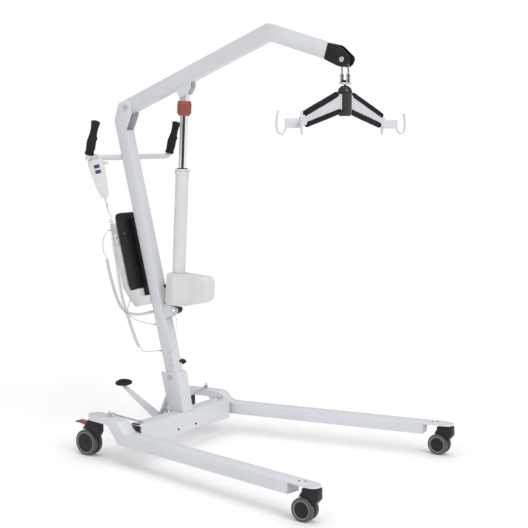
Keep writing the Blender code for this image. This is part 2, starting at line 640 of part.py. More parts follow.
def leg(name, side, stand):
    line = side * LEG_LINE
    outline = [(LEG_FRONT, LEG_LOW), (LEG_FRONT, FRONT_PLATE_LOW), (FRONT_AXIS, FRONT_PLATE_LOW),
               (FRONT_AXIS, LEG_TOP), (0.036, LEG_TOP), (0.020, 0.128), (0.006, 0.137),
               (-0.004, 0.150), (-0.014, 0.159), (-0.030, 0.1645), (-0.045, NECK_TOP), (REAR_AXIS, NECK_TOP),
               (REAR_AXIS, NECK_LOW), (-0.085, NECK_LOW), (-0.074, 0.140), (-0.016, LEG_LOW)]
    made = plate(f"leg_{name}", outline, LEG_WIDTH, (0, line, 0), stand, WHITE, bevel=0.002)
    fuse(made, cylinder(f"neck_end_{name}", LEG_WIDTH / 2 - 0.0015, NECK_TOP - NECK_LOW - 2 * STEP,
                        (REAR_AXIS, line, (NECK_TOP + NECK_LOW) / 2), stand, sides=20))
    bore_low, bore_high = LEG_LOW + 0.004, FRONT_PLATE_LOW - 0.001
    depth = LEG_FRONT - 0.060
    cut(made, box(f"leg_bore_{name}", (depth + 0.02, LEG_WIDTH - 0.008, bore_high - bore_low),
                  (LEG_FRONT - depth / 2 + 0.01, line, (bore_low + bore_high) / 2), stand))
    fuse(made, cylinder(f"nose_end_{name}", LEG_WIDTH / 2 - 0.0015, LEG_TOP - FRONT_PLATE_LOW - 2 * STEP,
                        (FRONT_AXIS, line, (LEG_TOP + FRONT_PLATE_LOW) / 2), stand, sides=20))
    lug_middle = (LUG_LOW + LUG_TOP) / 2
    reach = LEG_LINE - LEG_WIDTH / 2 + 0.004
    fuse(made, box(f"leg_lug_{name}", (1.4 * LUG_RADIUS, reach, LUG_TOP - LUG_LOW - STEP),
                   (0, side * reach / 2, lug_middle), stand))
    fuse(made, cylinder(f"lug_end_{name}", LUG_RADIUS, LUG_TOP - LUG_LOW, (0, 0, lug_middle), stand, sides=24))
    cut(made, cylinder(f"lug_hole_{name}", 0.0060, 0.05, (0, 0, lug_middle), stand))
    fuse(made, cylinder(f"rod_stud_{name}", 0.0040, 0.030, (STUD_ALONG, line, NECK_TOP + 0.010), stand, sides=12))
    return made


def crank_pin(side):
    """Where a tie rod meets the rocker at rest: the near rod below the axle, the far rod above it."""
    height = side * CRANK
    return Vector((ROCKER.x - 0.012, -height * math.sin(ROCKER_TILT), ROCKER.z + height * math.cos(ROCKER_TILT)))


def tie_rod(name, side, stud):
    """A rod with an eye on the leg's stud and a flat eye that reaches the rocker's crank pin with play."""
    pin = crank_pin(side)
    turn = (0, 0, math.atan2(pin.y - stud.y, pin.x - stud.x))
    stand = frame(f"tie_frame_{name}", stud, turn, root)
    span = math.hypot(pin.x - stud.x, pin.y - stud.y)
    drop = pin.z - stud.z
    eye = cylinder(f"tie_rod_{name}", 0.0085, 0.0090, (0, 0, 0), stand, STEEL, sides=16)
    wire = [(0.005, 0, 0), (0.020, 0, 0), (0.034, 0, drop * 0.08), (span - 0.034, 0, drop * 0.95),
            (span - 0.005, 0, drop)]
    fuse(eye, tube(f"tie_wire_{name}", wire, 0.0032, stand, resolution=2))
    fuse(eye, cylinder(f"tie_end_{name}", 0.0135, 0.0080, (span, 0, drop), stand, axis="X", sides=16,
                       turn=(0, 0, -turn[2])))
    cut(eye, cylinder(f"tie_eye_hole_{name}", 0.0044, 0.03, (0, 0, 0), stand, sides=12))
    cut(eye, cylinder(f"tie_end_hole_{name}", 0.0102, 0.03, (span, 0, drop), stand, axis="X", sides=12,
                      turn=(0, 0, -turn[2])))
    return eye


def pedal_rocker(stand):
    hub = cylinder("pedal_rocker", 0.0150, 0.0420, (-0.0130, 0, 0), stand, WHITE, axis="X", sides=20)
    fuse(hub, box("crank_plate", (0.0050, 0.0200, 2 * CRANK + 0.014), (0.0045, 0, 0), stand))
    fuse(hub, box("rocker_saddle", (0.0080, 0.0500, 0.0300), (-0.0285, 0, 0.0100), stand))
    for name, side in SIDES.items():
        pin = cylinder(f"crank_pin_{name}", 0.0035, 0.0250, (-0.0085, 0, side * CRANK), stand, axis="X", sides=12)
        fuse(hub, pin)
        rise = PEDAL_RADIUS * math.cos(PEDAL_ANGLE)
        end = Vector((PEDAL_BACK, side * PEDAL_RADIUS * math.sin(PEDAL_ANGLE), rise - 0.010))
        start = Vector((-0.0290, side * 0.008, 0.006))
        arm_turn = (end - start).to_track_quat("Z", "Y").to_euler()
        arm = cylinder(f"pedal_arm_{name}", 0.0230, (end - start).length, (start + end) / 2, stand,
                       sides=4, top=0.0100, turn=arm_turn)
        arm.data.transform(Matrix.Scale(0.40, 4, (1, 0, 0)) @ Matrix.Rotation(math.pi / 4, 4, "Z"))
        fuse(hub, arm)
    cut(hub, cylinder("rocker_bore", 0.0074, 0.09, (-0.010, 0, 0), stand, axis="X", sides=16))
    return hub


def pedal_pad(name, side, stand):
    rise = PEDAL_RADIUS * math.cos(PEDAL_ANGLE)
    top = Vector((PEDAL_BACK, side * PEDAL_RADIUS * math.sin(PEDAL_ANGLE), rise))
    profile = [(0, 0.0085), (0.020, 0.0080), (0.030, 0.0050), (0.0335, 0.0), (0.0320, -0.0045), (0.028, -0.0065),
               (0, -0.0065)]
    pad = turned(f"pedal_pad_{name}", profile, top + Vector((0, 0, 0.004)), stand, BLACK, steps=20)
    return pad


# Casters

def fork(name, end, stand):
    """The swivelling body of a twin-wheel caster: a web between the wheels and a hood over them."""
    radius = {"front": FRONT_WHEEL, "rear": REAR_WHEEL}[end]
    top = {"front": FRONT_PLATE_LOW, "rear": NECK_LOW}[end] - GAP
    hub = (-TRAIL[end], radius)
    rise = top - radius
    hood = [*arc(hub, radius + 0.0025, 24, 112, 7), (hub[0] - 0.42 * radius, radius * 1.98),
            (hub[0] + 0.10 * radius, radius + rise - 0.004), (-0.018, top), (0.022, top), (0.027, top - 0.006),
            (0.0275, radius + 0.50 * rise)]
    made = plate(f"caster_fork_{end}_{name}", hood, 2 * HOOD_HALF, (0, 0, 0), stand, BLACK, bevel=0.002)
    web = [*arc(hub, 0.013, 100, 300, 8), (0.014, radius + 0.30 * rise), (0.022, radius + 0.60 * rise),
           (0.010, radius + 0.85 * rise), (hub[0] - 0.010, radius + 0.85 * rise)]
    fuse(made, plate(f"caster_web_{end}_{name}", web, 0.0120, (0, 0, 0), stand))
    axle = (hub[0], 0, hub[1])
    cut(made, cylinder(f"caster_axle_hole_{end}_{name}", 0.0053, 0.06, axle, stand, axis="Y", sides=12))
    if end == "rear":
        behind = BRAKE_HINGE + Vector((-0.0140, 0, 0))
        cut(made, box(f"brake_slot_{name}", (0.0400, 0.0192, 0.0190), behind, stand))
    return made


def wheels(name, end, stand):
    """Two treaded wheels pressed on one axle, one on each side of the fork's web."""
    radius = {"front": FRONT_WHEEL, "rear": REAR_WHEEL}[end]
    width = WHEEL_HALF - 0.0070
    inner, outer = 0.0070, 0.0070 + width
    rim = radius - 0.010
    half = [(0, outer - 0.0030), (rim - 0.006, outer - 0.0030), (rim, outer), (radius - 0.003, outer),
            (radius, outer - 0.003), (radius, inner), (0.0050, inner)]
    profile = [*half, *[(r, -z) for r, z in reversed(half)]]
    return turned(f"caster_wheels_{end}_{name}", profile, (-TRAIL[end], 0, radius), stand, RUBBER, axis="Y",
                  steps=24)


def brake_pedal(name, stand):
    """The foot pedal of a rear caster, hinged low in the hood and reaching back over the wheels."""
    outline = [(-0.0040, -0.0045), (0.0030, -0.0040), (0.0040, 0.0040), (-0.0200, 0.0085), (-0.0440, 0.0110),
               (-0.0500, 0.0080), (-0.0490, 0.0030), (-0.0280, 0.0000)]
    pedal = plate(f"brake_pedal_{name}", outline, 0.018, (0, 0, 0), stand, RED, bevel=0.0015)
    tread = box(f"brake_tread_{name}", (0.0240, 0.0360, 0.0060), (-0.0385, 0, 0.0068), stand, bevel=0.0015)
    return fuse(pedal, tread)


# Cords. The coils stand for coiled leads of their outer size.

HANDSET_LEAD = [(-0.2371, -0.1716, 0.9662), (-0.2386, -0.1670, 0.9540), (-0.2420, -0.1580, 0.9400),
                (-0.2448, -0.1475, 0.9250), (-0.2449, -0.1410, 0.9112)]
HANDSET_COIL = [(-0.2448, -0.140, 0.9100), (-0.2436, -0.128, 0.8080), (-0.2382, -0.118, 0.7353),
                (-0.2262, -0.107, 0.6136), (-0.2140, -0.098, 0.5522), (-0.1965, -0.090, 0.4914),
                (-0.1739, -0.082, 0.4244), (-0.1580, -0.074, 0.3900)]
HANDSET_TAIL = [(-0.1560, -0.0730, 0.3860), (-0.1490, -0.0690, 0.3810), (-0.1370, -0.0560, 0.3795),
                (-0.1260, -0.0380, 0.3790), (-0.1150, -0.0200, 0.3785), (-0.1040, -0.0080, 0.3780),
                (-0.0952, -0.0040, 0.3775)]
MOTOR_LEAD = [(-0.2960, -0.0692, 0.8530), (-0.2985, -0.0760, 0.8555), (-0.3050, -0.0870, 0.8530),
              (-0.3160, -0.0960, 0.8370), (-0.3230, -0.1000, 0.8120), (-0.3240, -0.1010, 0.7860),
              (-0.3190, -0.1015, 0.7660), (-0.3095, -0.1010, 0.7535)]
MOTOR_COIL = [(-0.3070, -0.1008, 0.7500), (-0.2945, -0.0980, 0.6926), (-0.2780, -0.0930, 0.6289),
              (-0.2620, -0.0880, 0.5800), (-0.2440, -0.0780, 0.5420), (-0.2230, -0.0600, 0.5230),
              (-0.1992, -0.0300, 0.5170), (-0.1750, 0.0050, 0.5230), (-0.1500, 0.0330, 0.5330),
              (-0.1200, 0.0480, 0.5420), (-0.0900, 0.0480, 0.5480), (-0.0620, 0.0380, 0.5520)]
CHARGER_LEAD = [(-0.2340, -0.0300, 0.5830), (-0.2430, -0.0360, 0.5660), (-0.2480, -0.0420, 0.5450),
                (-0.2430, -0.0480, 0.5260), (-0.2300, -0.0490, 0.5110), (-0.2143, -0.0440, 0.5010),
                (-0.1876, -0.0350, 0.4918), (-0.1536, -0.0250, 0.4847), (-0.1230, -0.0150, 0.4823)]
COIL_RADIUS = 0.0075
LEAD_RADIUS = 0.0016


def cord(name, points, radius, spacing):
    return tube(name, smooth_path(points, spacing), radius, root, GREY, resolution=2)


def main():
    base_beam()
    mast = frame("mast_frame", (MAST_X, 0, 0.150), (0, -MAST_LEAN, 0), root)
    mast_socket(mast)
    pivot_bolts()
    rocker_axle()
    mast_tube(mast)
    lock_screw(mast)
    pull_pin()
    handlebar()
    for name, side in SIDES.items():
        grip(name, side)
    mounting_plate(mast)
    control_box(mast)
    battery(mast)

    boom = frame("boom_frame", (PIVOT_U, 0, PIVOT_W), (0, MAST_LEAN - BOOM_RISE, 0), mast)
    head_bolt(boom)
    nose = nose_frame(boom)
    boom_tube(boom, nose)
    boom_clevis(nose)
    hanger = frame("hanger_frame", (HANGER_ALONG, 0, -HANGER_BELOW), (0, BOOM_RISE - ELBOW_DROP, 0), nose)
    clevis_bolt(hanger)
    hanger_shackle(hanger)
    spreader = frame("spreader_frame", (0, 0, -HANGER_LENGTH), (0, 0, 0), hanger)
    spreader_hub(spreader)
    for name, side in SIDES.items():
        spreader_arm(name, side, spreader)
        for level in PAD_LINES:
            arm_pad(name, side, level, spreader)

    actuator(frame("actuator_frame", FOOT_PIN, (0, ACTUATOR_LEAN, 0), root))

    handset(frame("handset_frame", HANDSET_TOP, handset_turn(), root))
    handset_hook()

    rocker = frame("rocker_frame", ROCKER, (ROCKER_TILT, 0, 0), root)
    pedal_rocker(rocker)
    for name, side in SIDES.items():
        pedal_pad(name, side, rocker)
        turn = side * LEG_SPREAD
        pivot = Vector((BEAM_X, side * LEG_PIVOT_Y, 0))
        leg_frame = frame(f"leg_frame_{name}", pivot, (0, 0, turn), root)
        leg(name, side, leg_frame)
        spin = Matrix.Rotation(turn, 4, "Z")
        stud = pivot + spin @ Vector((STUD_ALONG, side * LEG_LINE, ROD_HEIGHT))
        tie_rod(name, side, stud)
        for end, along in (("front", FRONT_AXIS), ("rear", REAR_AXIS)):
            axis = pivot + spin @ Vector((along, side * LEG_LINE, 0))
            caster = frame(f"caster_frame_{end}_{name}", axis, (0, 0, 0), root)
            fork(name, end, caster)
            wheels(name, end, caster)
            if end == "rear":
                hinge = frame(f"brake_frame_{name}", BRAKE_HINGE, (0, 0, 0), caster)
                brake_pedal(name, hinge)

    cord("handset_lead", HANDSET_LEAD, LEAD_RADIUS, 0.010)
    cord("handset_coil", HANDSET_COIL, COIL_RADIUS, 0.028)
    cord("handset_tail", HANDSET_TAIL, LEAD_RADIUS, 0.010)
    cord("motor_lead", MOTOR_LEAD, LEAD_RADIUS, 0.010)
    cord("motor_coil", MOTOR_COIL, COIL_RADIUS, 0.026)
    cord("charger_lead", CHARGER_LEAD, LEAD_RADIUS, 0.010)


main()
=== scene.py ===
import json
import math

import bmesh
import bpy
import numpy as np
from mathutils import Matrix, Vector


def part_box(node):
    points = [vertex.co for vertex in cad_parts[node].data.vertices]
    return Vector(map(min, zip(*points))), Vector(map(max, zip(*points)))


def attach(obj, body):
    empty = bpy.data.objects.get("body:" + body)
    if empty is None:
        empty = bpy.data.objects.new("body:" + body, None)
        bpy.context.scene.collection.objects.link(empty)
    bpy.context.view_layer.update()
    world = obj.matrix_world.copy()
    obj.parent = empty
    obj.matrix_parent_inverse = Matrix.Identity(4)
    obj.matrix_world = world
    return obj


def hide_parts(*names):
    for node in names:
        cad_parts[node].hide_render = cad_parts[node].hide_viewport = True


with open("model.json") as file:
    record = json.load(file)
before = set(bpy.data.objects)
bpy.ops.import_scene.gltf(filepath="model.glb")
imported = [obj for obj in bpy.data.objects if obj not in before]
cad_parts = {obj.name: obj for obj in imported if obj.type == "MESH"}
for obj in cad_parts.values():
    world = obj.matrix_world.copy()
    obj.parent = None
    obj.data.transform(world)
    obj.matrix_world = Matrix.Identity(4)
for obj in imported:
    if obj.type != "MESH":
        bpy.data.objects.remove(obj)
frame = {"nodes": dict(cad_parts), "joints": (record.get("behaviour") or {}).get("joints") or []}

# Metres throughout. Positions in code are taken from the leg pivots' datum and moved by SHIFT
# to the frame's origin, which is under the middle of the lift.
SHIFT = Vector((-0.30394, 0, 0))
SIDES = {"near": -1, "far": 1}
WHEEL_RADIUS = {"front": 0.040, "rear": 0.050}
LEAD = 0.0032                 # diameter of the wire of every lead
COIL_TURN = 0.0059            # from a coil's middle to the middle of its wire
COIL_PITCH = 0.0084           # picked, not counted in the photograph
TURN_STEPS = 14               # points in one turn of a coil
RUN_IN = 0.016                # along a coil, over which its wire moves out and starts to turn

scene = bpy.context.scene
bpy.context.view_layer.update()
nodes = frame["nodes"]
joints = {j["name"]: (Vector(j["pos_m"]), Vector(j["axis"])) for j in frame["joints"]}


def place(x, y, z):
    return Vector((x, y, z)) + SHIFT


def mast_frame():
    return Matrix.Translation(place(-0.0071, 0, 0.150)) @ Matrix.Rotation(-math.radians(14.32), 4, "Y")


MAST = mast_frame()


# Camera

def add_camera():
    yaw, down = 2.1718, 0.1102
    look = Vector((math.cos(yaw) * math.cos(down), math.sin(yaw) * math.cos(down), -math.sin(down)))
    data = bpy.data.cameras.new("view")
    data.sensor_width = 36.0
    data.lens = 80.8
    data.clip_end = 200
    camera = bpy.data.objects.new("view", data)
    camera.location = place(2.8567, -3.6074, 1.2384)
    camera.rotation_mode = "QUATERNION"
    camera.rotation_quaternion = look.to_track_quat("-Z", "Y")
    scene.collection.objects.link(camera)
    scene.camera = camera


add_camera()


# Materials

class Surface:
    """A procedural material: mottled colour, uneven roughness and a fine relief, in the piece's own space."""

    def __init__(self, name, metallic=0.0):
        self.material = bpy.data.materials.new(name)
        self.material.use_nodes = True
        self.tree = self.material.node_tree
        self.shader = self.tree.nodes["Principled BSDF"]
        self.shader.inputs["Metallic"].default_value = metallic
        self.space = self.tree.nodes.new("ShaderNodeTexCoord").outputs["Object"]
        self.normal = None

    def stretched(self, scale):
        node = self.tree.nodes.new("ShaderNodeMapping")
        node.inputs["Scale"].default_value = scale
        self.tree.links.new(self.space, node.inputs["Vector"])
        return node.outputs["Vector"]

    def noise(self, scale, detail=3.0, roughness=0.55, stretch=None):
        node = self.tree.nodes.new("ShaderNodeTexNoise")
        node.inputs["Scale"].default_value = scale
        node.inputs["Detail"].default_value = detail
        node.inputs["Roughness"].default_value = roughness
        self.tree.links.new(self.stretched(stretch) if stretch else self.space, node.inputs["Vector"])
        return node.outputs["Fac"]

    def cells(self, scale):
        node = self.tree.nodes.new("ShaderNodeTexVoronoi")
        node.inputs["Scale"].default_value = scale
        self.tree.links.new(self.space, node.inputs["Vector"])
        return node.outputs["Distance"]

    def ranged(self, source, low, high, start=0.3, stop=0.7):
        node = self.tree.nodes.new("ShaderNodeMapRange")
        node.inputs["From Min"].default_value = start
        node.inputs["From Max"].default_value = stop
        node.inputs["To Min"].default_value = low
        node.inputs["To Max"].default_value = high
        self.tree.links.new(source, node.inputs["Value"])
        return node.outputs["Result"]

    def colours(self, source, *stops):
        ramp = self.tree.nodes.new("ShaderNodeValToRGB")
        while len(ramp.color_ramp.elements) < len(stops):
            ramp.color_ramp.elements.new(0.5)
        for element, (position, colour) in zip(ramp.color_ramp.elements, stops):
            element.position = position
            element.color = (*colour, 1)
        self.tree.links.new(source, ramp.inputs["Fac"])
        self.tree.links.new(ramp.outputs["Color"], self.shader.inputs["Base Color"])

    def roughness(self, source, low, high):
        self.tree.links.new(self.ranged(source, low, high), self.shader.inputs["Roughness"])

    def relief(self, source, strength, distance):
        node = self.tree.nodes.new("ShaderNodeBump")
        node.inputs["Strength"].default_value = strength
        node.inputs["Distance"].default_value = distance
        self.tree.links.new(source, node.inputs["Height"])
        if self.normal:
            self.tree.links.new(self.normal, node.inputs["Normal"])
        self.normal = node.outputs["Normal"]
        self.tree.links.new(self.normal, self.shader.inputs["Normal"])


def tint(colour, factor):
    return tuple(c * factor for c in colour)


def powder_coat(name, colour):
    """Paint baked on steel: orange peel over a slow waviness, with faint handling marks."""
    made = Surface(name)
    made.colours(made.noise(9, 4), (0.25, tint(colour, 0.955)), (0.55, colour), (0.8, tint(colour, 1.025)))
    made.roughness(made.noise(30, 5, 0.7), 0.30, 0.44)
    made.relief(made.noise(700, 2), 0.16, 0.00012)
    made.relief(made.noise(60, 2), 0.10, 0.0004)
    made.shader.inputs["Coat Weight"].default_value = 0.15
    made.shader.inputs["Coat Roughness"].default_value = 0.2
    return made.material


def moulded(name, colour, rough=(0.36, 0.5), grain=1500, strength=0.2, gloss=0.5):
    """Injection-moulded plastic: spark-eroded grain and a little shading from handling."""
    made = Surface(name)
    made.colours(made.noise(14, 4), (0.3, tint(colour, 0.95)), (0.7, tint(colour, 1.03)))
    made.roughness(made.noise(80, 4), *rough)
    made.relief(made.noise(grain, 2), strength, 0.00012)
    made.shader.inputs["Specular IOR Level"].default_value = gloss
    return made.material


def rubber(name, colour, worn):
    """Moulded rubber: dull, grained, and greyer where it is scuffed."""
    made = Surface(name)
    made.colours(made.noise(45, 6, 0.7), (0.35, colour), (0.62, tint(colour, 1.3)), (0.8, worn))
    made.roughness(made.noise(90, 4), 0.6, 0.85)
    made.relief(made.noise(900, 3), 0.35, 0.0002)
    made.shader.inputs["Specular IOR Level"].default_value = 0.25
    return made.material


def foam(name, colour):
    """Closed-cell foam: small pits and soft dents."""
    made = Surface(name)
    made.colours(made.noise(60, 5), (0.3, tint(colour, 0.7)), (0.7, tint(colour, 1.5)))
    made.roughness(made.noise(200, 3), 0.78, 0.95)
    made.relief(made.cells(900), 0.55, 0.0003)
    made.relief(made.noise(70, 3), 0.35, 0.0012)
    made.shader.inputs["Specular IOR Level"].default_value = 0.15
    made.shader.inputs["Sheen Weight"].default_value = 0.03
    made.shader.inputs["Sheen Roughness"].default_value = 0.5
    return made.material


def polished(name, colour, rough, stretch=(1, 1, 0.05)):
    """Plated metal, with polishing lines that run across its length."""
    made = Surface(name, metallic=1.0)
    made.colours(made.noise(25, 4), (0.3, tint(colour, 0.93)), (0.7, tint(colour, 1.04)))
    made.roughness(made.noise(120, 4, stretch=stretch), *rough)
    made.relief(made.noise(1400, 2, stretch=stretch), 0.06, 0.0001)
    return made.material


def zinc(name, colour):
    """Zinc-plated steel: a patchy, slightly cold grey."""
    made = Surface(name, metallic=1.0)
    made.colours(made.noise(160, 5), (0.3, tint(colour, 0.8)), (0.5, colour), (0.75, tint(colour, 1.15)))
    made.roughness(made.noise(220, 4), 0.26, 0.48)
    made.relief(made.noise(1000, 2), 0.15, 0.0001)
    return made.material


def floor_paint(name):
    """A pale, even studio floor."""
    made = Surface(name)
    made.colours(made.noise(0.4, 2), (0.3, (0.965, 0.965, 0.965)), (0.7, (0.985, 0.985, 0.985)))
    made.roughness(made.noise(3, 3), 0.6, 0.7)
    return made.material


PAINT = powder_coat("white_powder_coat", (0.62, 0.635, 0.668))
SHELL = moulded("warm_white_plastic", (0.655, 0.643, 0.637))
BLACK = moulded("black_plastic", (0.010, 0.010, 0.011), (0.34, 0.5), gloss=0.3)
GLOSS_BLACK = moulded("black_gloss_plastic", (0.012, 0.012, 0.013), (0.14, 0.26), 600, 0.06)
GRIP = rubber("grip_rubber", (0.010, 0.010, 0.011), (0.020, 0.020, 0.021))
TREAD = rubber("grey_tread_rubber", (0.075, 0.077, 0.082), (0.15, 0.15, 0.15))
RIM = moulded("light_grey_rim", (0.30, 0.31, 0.33))
FOAM = foam("black_foam", (0.011, 0.011, 0.012))
CHROME = polished("chrome", (0.80, 0.81, 0.83), (0.05, 0.14))
ZINC = zinc("zinc_plate", (0.58, 0.60, 0.63))
RED = moulded("red_brown_plastic", (0.30, 0.075, 0.055), (0.34, 0.48))
BLUE = moulded("blue_keys", (0.035, 0.045, 0.16), (0.3, 0.42))
LEAD_GREY = moulded("grey_lead", (0.50, 0.505, 0.505), (0.4, 0.55), 900, 0.25)
DARK_LINE = moulded("dark_seam", (0.03, 0.03, 0.032), (0.5, 0.7))
STAGE = floor_paint("pale_floor")

FINISH = {
    PAINT: ("base_beam", "mast_socket", "mast", "handlebar", "boom", "spreader_arm_near", "spreader_arm_far",
            "leg_near", "leg_far", "pedal_rocker"),
    SHELL: ("control_box", "handset_shell", "handset_hook", "motor_housing", "actuator_tube"),
    BLACK: ("mounting_plate", "battery", "boom_clevis", "actuator_foot"),
    GLOSS_BLACK: ("spreader_hub",),
    GRIP: ("grip_near", "grip_far", "pedal_pad_near", "pedal_pad_far"),
    CHROME: ("foot_pin", "actuator_rod", "rod_end", "hanger_link"),
    ZINC: ("leg_pivot_bolt_near", "leg_pivot_bolt_far", "rocker_axle", "boom_pivot_bolt",
           "clevis_bolt", "head_pin",
           "mast_lock_screw", "tie_rod_near", "tie_rod_far"),
    RED: ("release_knob", "brake_pedal_near", "brake_pedal_far"),
    BLUE: ("button_up", "button_down"),
    LEAD_GREY: ("handset_lead", "handset_coil", "handset_tail", "motor_lead", "motor_coil", "charger_lead"),
    FOAM: ("arm_pad_upper_near", "arm_pad_upper_far", "arm_pad_lower_near", "arm_pad_lower_far"),
}


def shading_group():
    """Geometry nodes that weld a node's facets and shade it smooth, except across its real edges."""
    group = bpy.data.node_groups.new("round_shading", "GeometryNodeTree")
    group.interface.new_socket("Geometry", in_out="INPUT", socket_type="NodeSocketGeometry")
    group.interface.new_socket("Geometry", in_out="OUTPUT", socket_type="NodeSocketGeometry")
    add = group.nodes.new
    link = group.links.new
    start, finish = add("NodeGroupInput"), add("NodeGroupOutput")
    forget = add("GeometryNodeRemoveAttribute")
    forget.inputs["Name"].default_value = "custom_normal"
    weld = add("GeometryNodeMergeByDistance")
    weld.inputs["Distance"].default_value = 0.00001
    angle = add("GeometryNodeInputMeshEdgeAngle")
    soft = add("FunctionNodeCompare")
    soft.operation = "LESS_THAN"
    soft.inputs["B"].default_value = math.radians(32)
    edges, faces = add("GeometryNodeSetShadeSmooth"), add("GeometryNodeSetShadeSmooth")
    edges.domain = "EDGE"
    link(start.outputs[0], forget.inputs["Geometry"])
    link(forget.outputs[0], weld.inputs["Geometry"])
    link(weld.outputs[0], faces.inputs["Geometry"])
    link(faces.outputs[0], edges.inputs["Geometry"])
    link(angle.outputs["Unsigned Angle"], soft.inputs["A"])
    link(soft.outputs["Result"], edges.inputs["Shade Smooth"])
    link(edges.outputs[0], finish.inputs[0])
    return group


SHADING = shading_group()


def shade(obj):
    modifier = obj.modifiers.new("round_shading", "NODES")
    modifier.node_group = SHADING
    return obj


def finish_nodes():
    chosen = {name: material for material, names in FINISH.items() for name in names}
    for end in WHEEL_RADIUS:
        for side in SIDES:
            chosen[f"caster_wheels_{end}_{side}"] = TREAD
            chosen[f"caster_fork_{end}_{side}"] = BLACK
    for name, obj in nodes.items():
        obj.data.materials.clear()
        obj.data.materials.append(chosen[name])
        shade(obj)


finish_nodes()


# Pieces

def circle(bm, angles, radius, height):
    return [bm.verts.new((radius * math.cos(a), radius * math.sin(a), height)) for a in angles]


def skin(bm, rows):
    """Quads between each row of vertices and the next, and a face over each end."""
    for low, high in zip(rows, rows[1:]):
        for k in range(len(low)):
            after = (k + 1) % len(low)
            bm.faces.new((low[k], low[after], high[after], high[k]))
    bm.faces.new(rows[0])
    bm.faces.new(rows[-1])


def piece(name, bm, body, material, matrix=None):
    mesh = bpy.data.meshes.new(name)
    if matrix:
        bm.transform(matrix)
    bmesh.ops.recalc_face_normals(bm, faces=bm.faces)
    bm.to_mesh(mesh)
    bm.free()
    mesh.materials.append(material)
    obj = bpy.data.objects.new(name, mesh)
    scene.collection.objects.link(obj)
    shade(obj)
    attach(obj, body)
    return obj


def facing(point, axis):
    """The frame at a point whose Z runs along an axis."""
    return Matrix.Translation(point) @ Vector(axis).to_track_quat("Z", "Y").to_matrix().to_4x4()


def lathed(name, profile, matrix, body, material, steps=40):
    """A turned piece: profile holds (radius, height) from one end to the other."""
    bm = bmesh.new()
    rows = []
    for radius, height in profile:
        angles = [2 * math.pi * k / steps for k in range(steps)]
        rows.append([bm.verts.new((radius * math.cos(a), radius * math.sin(a), height)) for a in angles])
    skin(bm, rows)
    return piece(name, bm, body, material, matrix)


def ring(name, inner, outer, height, matrix, body, material, steps=48):
    """A rounded ring that stands on its matrix's plane."""
    bm = bmesh.new()
    edge = 0.25 * min(outer - inner, height)
    section = [(inner, 0), (inner, height - edge), (inner + edge, height), (outer - edge, height),
               (outer, height - edge), (outer, 0)]
    rows = []
    for k in range(steps):
        turn = 2 * math.pi * k / steps
        rows.append([bm.verts.new((r * math.cos(turn), r * math.sin(turn), z)) for r, z in section])
    for k in range(steps):
        this, after = rows[k], rows[(k + 1) % steps]
        for i in range(len(section)):
            j = (i + 1) % len(section)
            bm.faces.new((this[i], after[i], after[j], this[j]))
    return piece(name, bm, body, material, matrix)


def block(name, size, matrix, body, material, bevel=0.0008):
    """A box with rounded edges, centred on its matrix."""
    bm = bmesh.new()
    bmesh.ops.create_cube(bm, size=1.0)
    bmesh.ops.scale(bm, vec=size, verts=bm.verts)
    bmesh.ops.bevel(bm, geom=list(bm.edges), offset=bevel, segments=3, profile=0.5, affect="EDGES")
    return piece(name, bm, body, material, matrix)


def bolt(name, radius, height, matrix, body, material=ZINC):
    """A hexagon head on a washer, with a chamfered top."""
    bm = bmesh.new()
    flange = ((1.25, 0), (1.25, 0.14), (1.18, 0.2))
    hexagon = ((1.0, 0.2), (1.0, 0.88), (0.88, 1.0))
    for sides, rows in ((32, flange), (6, hexagon)):
        made = []
        for r, z in rows:
            angles = [2 * math.pi * k / sides for k in range(sides)]
            made.append(circle(bm, angles, r * radius, z * height))
        skin(bm, made)
    return piece(name, bm, body, material, matrix)


def socket_screw(name, radius, matrix, body, material=ZINC):
    """A round screw head with a round socket sunk in it."""
    bm = bmesh.new()
    steps = 24
    rows = []
    for r, z in ((1.0, 0.0), (1.0, 0.45), (0.88, 0.6), (0.5, 0.6), (0.45, 0.2), (0.02, 0.15)):
        angles = [2 * math.pi * k / steps for k in range(steps)]
        rows.append(circle(bm, angles, r * radius, z * radius))
    skin(bm, rows)
    return piece(name, bm, body, material, matrix)


def frames_along(points):
    """A point, tangent and two normals at each point, turning as little as the path does."""
    points = np.asarray(points, float)
    tangents = np.gradient(points, axis=0)
    tangents /= np.linalg.norm(tangents, axis=1)[:, None]
    normal = np.cross(tangents[0], (0.0, 0.0, 1.0))
    if np.linalg.norm(normal) < 0.2:
        normal = np.cross(tangents[0], (0.0, 1.0, 0.0))
    normals = []
    for tangent in tangents:
        normal = normal - tangent * np.dot(normal, tangent)
        normal = normal / np.linalg.norm(normal)
        normals.append(normal)
    normals = np.array(normals)
    return points, tangents, normals, np.cross(tangents, normals)


def swept(name, points, radii, body, material, sides=20):
    """A round piece along a path, of a given radius at each point."""
    points, _, first, second = frames_along(points)
    bm = bmesh.new()
    rows = []
    for p, u, v, r in zip(points, first, second, radii):
        angles = [2 * math.pi * k / sides for k in range(sides)]
        rows.append([bm.verts.new(p + r * (math.cos(a) * u + math.sin(a) * v)) for a in angles])
    skin(bm, rows)
    return piece(name, bm, body, material)


# Cords

